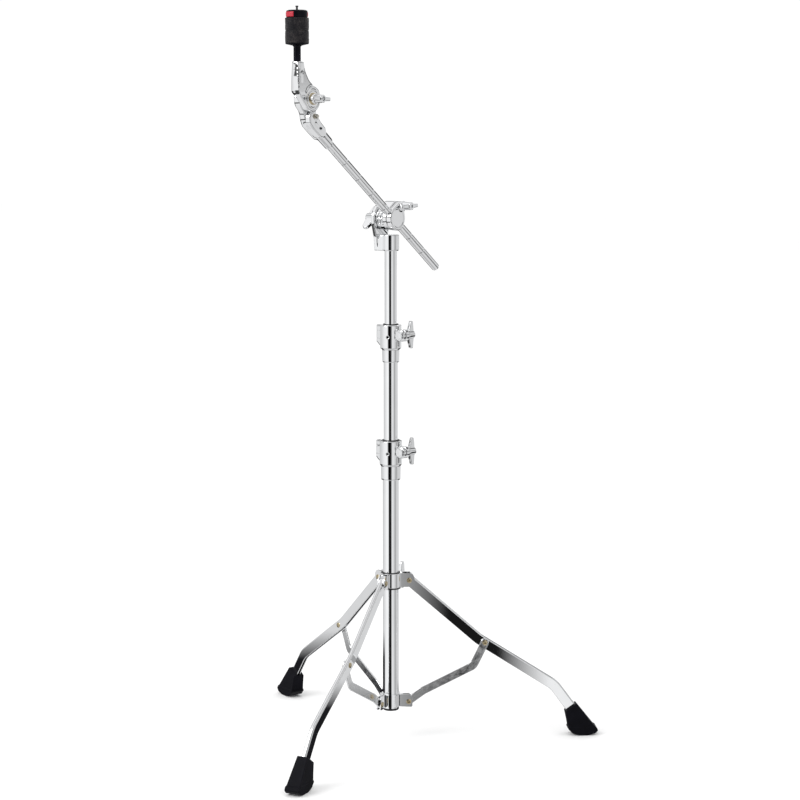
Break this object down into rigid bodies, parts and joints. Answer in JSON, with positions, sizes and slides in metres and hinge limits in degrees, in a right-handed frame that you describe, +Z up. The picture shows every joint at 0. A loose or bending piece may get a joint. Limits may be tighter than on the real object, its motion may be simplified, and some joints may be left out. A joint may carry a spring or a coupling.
{
  "type": "cymbal boom stand",
  "caption": "Chromed tripod stand with a telescoping mast and a tilting boom arm that ends in a cymbal tilter with felts and a quick-release cap.",
  "frame": {"origin": "centre of the stand's own footprint, on the floor", "axes": "+Z up the mast, +X the way the boom leans, +Y the side with the boom clamp's wing nut"},
  "size_m": [0.5438, 0.5715, 1.1296],
  "materials": {
    "chromed_steel": "polished chrome plating",
    "chromed_casting": "chrome plated casting",
    "steel": "zinc plated",
    "rivet_brass": "dull brass",
    "foot_rubber": "matte rubber",
    "felt": "pressed wool felt",
    "black_plastic": "satin moulded nylon",
    "red_plastic": "smooth moulded",
    "nylon": "satin nylon"
  },
  "bodies": {
    "base": {"base_tube": "chromed_steel", "base_tube_plug": "nylon", "base_hub": "chromed_steel", "hub_rivets": "rivet_brass", "lower_clamp_body": "chromed_casting", "lower_clamp_bolt": "chromed_steel", "lower_clamp_washer": "steel"},
    "leg_collar": {"leg_collar": "chromed_steel", "collar_sleeve": "nylon", "leg_pivot_rivets": "rivet_brass"},
    "collar_wing_bolt": {"collar_wing_bolt": "chromed_steel", "collar_bolt_pad": "nylon"},
    "leg_front": {"leg_front": "chromed_steel", "foot_front": "foot_rubber", "brace_rivet_front": "rivet_brass"},
    "brace_front": {"brace_front": "chromed_steel"},
    "leg_right": {"leg_right": "chromed_steel", "foot_right": "foot_rubber", "brace_rivet_right": "rivet_brass"},
    "brace_right": {"brace_right": "chromed_steel"},
    "leg_left": {"leg_left": "chromed_steel", "foot_left": "foot_rubber", "brace_rivet_left": "rivet_brass"},
    "brace_left": {"brace_left": "chromed_steel"},
    "lower_bushing": {"lower_clamp_bushing": "nylon"},
    "mid_mast": {"mid_tube": "chromed_steel", "mid_tube_glide": "nylon", "upper_clamp_body": "chromed_casting", "upper_clamp_bolt": "chromed_steel", "upper_clamp_washer": "steel"},
    "lower_wing_nut": {"lower_clamp_wing_nut": "chromed_steel"},
    "upper_bushing": {"upper_clamp_bushing": "nylon"},
    "upper_mast": {"upper_tube": "chromed_steel", "upper_tube_glide": "nylon", "boom_holder": "chromed_casting", "boom_tilt_washer": "steel"},
    "upper_wing_nut": {"upper_clamp_wing_nut": "chromed_steel"},
    "boom_clamp": {"boom_clamp_inner": "chromed_casting", "boom_clamp_outer": "chromed_casting", "boom_clamp_bolt": "chromed_steel"},
    "tilt_wing_nut": {"boom_tilt_wing_nut": "chromed_steel"},
    "clamp_wing_nut": {"boom_clamp_wing_nut": "chromed_steel"},
    "boom": {"boom_rod": "chromed_steel", "tilter_lower_casting": "chromed_casting", "tilter_key_bolt": "steel", "tilter_roll_pin": "steel", "tilter_pivot_bolt": "chromed_steel"},
    "tilter": {"tilter_upper_arm": "chromed_casting", "tilter_set_screw": "steel", "tilter_washer": "steel", "cymbal_rod": "steel", "cymbal_sleeve": "black_plastic", "felt_lower": "felt", "felt_upper": "felt"},
    "tilter_wing_nut": {"tilter_wing_nut": "chromed_steel"},
    "mate": {"mate_body": "black_plastic", "mate_springs_front": "steel", "mate_springs_back": "steel"},
    "mate_button_front": {"mate_button_front": "red_plastic"},
    "mate_button_back": {"mate_button_back": "red_plastic"}
  },
  "joints": [
    {"name": "leg_fold", "type": "slide", "parent": "base", "child": "leg_collar", "axis": [0, 0, 1], "range_m": [0, 0.1]},
    {"name": "collar_wing_bolt_turn", "type": "hinge", "parent": "leg_collar", "child": "collar_wing_bolt", "pos_m": [-0.08301, 0.02087, 0.255], "axis": [-0.9858, -0.1681, 0], "continuous": true},
    {"name": "leg_front_pivot", "type": "hinge", "parent": "leg_collar", "child": "leg_front", "pos_m": [-0.02544, 0.03069, 0.2543], "axis": [-0.1681, 0.9858, 0], "range_deg": [0, 32.7]},
    {"name": "brace_front_pivot", "type": "hinge", "parent": "leg_front", "child": "brace_front", "pos_m": [0.09206, 0.05073, 0.1525], "axis": [0.1681, -0.9858, 0], "range_deg": [0, 67.3]},
    {"name": "leg_right_pivot", "type": "hinge", "parent": "leg_collar", "child": "leg_right", "pos_m": [-0.07157, 0.04777, 0.2543], "axis": [-0.7696, -0.6385, 0], "range_deg": [0, 32.7]},
    {"name": "brace_right_pivot", "type": "hinge", "parent": "leg_right", "child": "brace_right", "pos_m": [-0.14768, 0.13951, 0.1525], "axis": [0.7696, 0.6385, 0], "range_deg": [0, 67.3]},
    {"name": "leg_left_pivot", "type": "hinge", "parent": "leg_collar", "child": "leg_left", "pos_m": [-0.0633, -0.00072, 0.2543], "axis": [0.9378, -0.3473, 0], "range_deg": [0, 32.7]},
    {"name": "brace_left_pivot", "type": "hinge", "parent": "leg_left", "child": "brace_left", "pos_m": [-0.1047, -0.1125, 0.1525], "axis": [-0.9378, 0.3473, 0], "range_deg": [0, 67.3]},
    {"name": "lower_mast_swivel", "type": "hinge", "parent": "base", "child": "lower_bushing", "pos_m": [-0.05344, 0.02591, 0.455], "axis": [0, 0, 1], "continuous": true},
    {"name": "mid_mast_height", "type": "slide", "parent": "lower_bushing", "child": "mid_mast", "axis": [0, 0, 1], "range_m": [-0.12, 0.195]},
    {"name": "lower_wing_nut_turn", "type": "hinge", "parent": "base", "child": "lower_wing_nut", "pos_m": [-0.06396, 0.05365, 0.4589], "axis": [-0.986, 0.1668, 0], "continuous": true},
    {"name": "upper_mast_swivel", "type": "hinge", "parent": "mid_mast", "child": "upper_bushing", "pos_m": [-0.05344, 0.02591, 0.636], "axis": [0, 0, 1], "continuous": true},
    {"name": "upper_mast_height", "type": "slide", "parent": "upper_bushing", "child": "upper_mast", "axis": [0, 0, 1], "range_m": [-0.112, 0.15]},
    {"name": "upper_wing_nut_turn", "type": "hinge", "parent": "mid_mast", "child": "upper_wing_nut", "pos_m": [-0.06416, 0.05247, 0.64], "axis": [-0.986, 0.1668, 0], "continuous": true},
    {"name": "boom_tilt", "type": "hinge", "parent": "upper_mast", "child": "boom_clamp", "pos_m": [-0.05344, 0.02591, 0.8185], "axis": [0, 1, 0], "range_deg": [-9, 80]},
    {"name": "tilt_wing_nut_turn", "type": "hinge", "parent": "boom_clamp", "child": "tilt_wing_nut", "pos_m": [-0.05344, -0.00809, 0.8185], "axis": [0, 1, 0], "continuous": true},
    {"name": "clamp_wing_nut_turn", "type": "hinge", "parent": "boom_clamp", "child": "clamp_wing_nut", "pos_m": [-0.06191, 0.04991, 0.83727], "axis": [0, 1, 0], "continuous": true},
    {"name": "boom_slide", "type": "slide", "parent": "boom_clamp", "child": "boom", "axis": [0.8143, 0, 0.5804], "range_m": [-0.16, 0.1]},
    {"name": "cymbal_tilt", "type": "hinge", "parent": "boom", "child": "tilter", "pos_m": [0.15826, 0.02591, 0.9986], "axis": [0, 1, 0], "range_deg": [-35, 50]},
    {"name": "tilter_wing_nut_turn", "type": "hinge", "parent": "boom", "child": "tilter_wing_nut", "pos_m": [0.15826, 0.05091, 0.9986], "axis": [0, 1, 0], "continuous": true},
    {"name": "mate_lift", "type": "slide", "parent": "tilter", "child": "mate", "axis": [0, 0, 1], "range_m": [0, 0.03]},
    {"name": "mate_button_front_press", "type": "slide", "parent": "mate", "child": "mate_button_front", "axis": [-0.9397, 0.342, 0], "range_m": [0, 0.0022], "stiffness_N_per_m": 1200, "springref_m": -0.001, "deforming": ["mate_springs_front"]},
    {"name": "mate_button_back_press", "type": "slide", "parent": "mate", "child": "mate_button_back", "axis": [0.9397, -0.342, 0], "range_m": [0, 0.0022], "stiffness_N_per_m": 1200, "springref_m": -0.001, "deforming": ["mate_springs_back"]}
  ],
  "couplings": [
    {"joint": "leg_front_pivot", "follows": "leg_fold", "rad_per_m": 5.6723},
    {"joint": "brace_front_pivot", "follows": "leg_fold", "rad_per_m": 11.697},
    {"joint": "leg_right_pivot", "follows": "leg_fold", "rad_per_m": 5.6723},
    {"joint": "brace_right_pivot", "follows": "leg_fold", "rad_per_m": 11.697},
    {"joint": "leg_left_pivot", "follows": "leg_fold", "rad_per_m": 5.6723},
    {"joint": "brace_left_pivot", "follows": "leg_fold", "rad_per_m": 11.697}
  ]
}
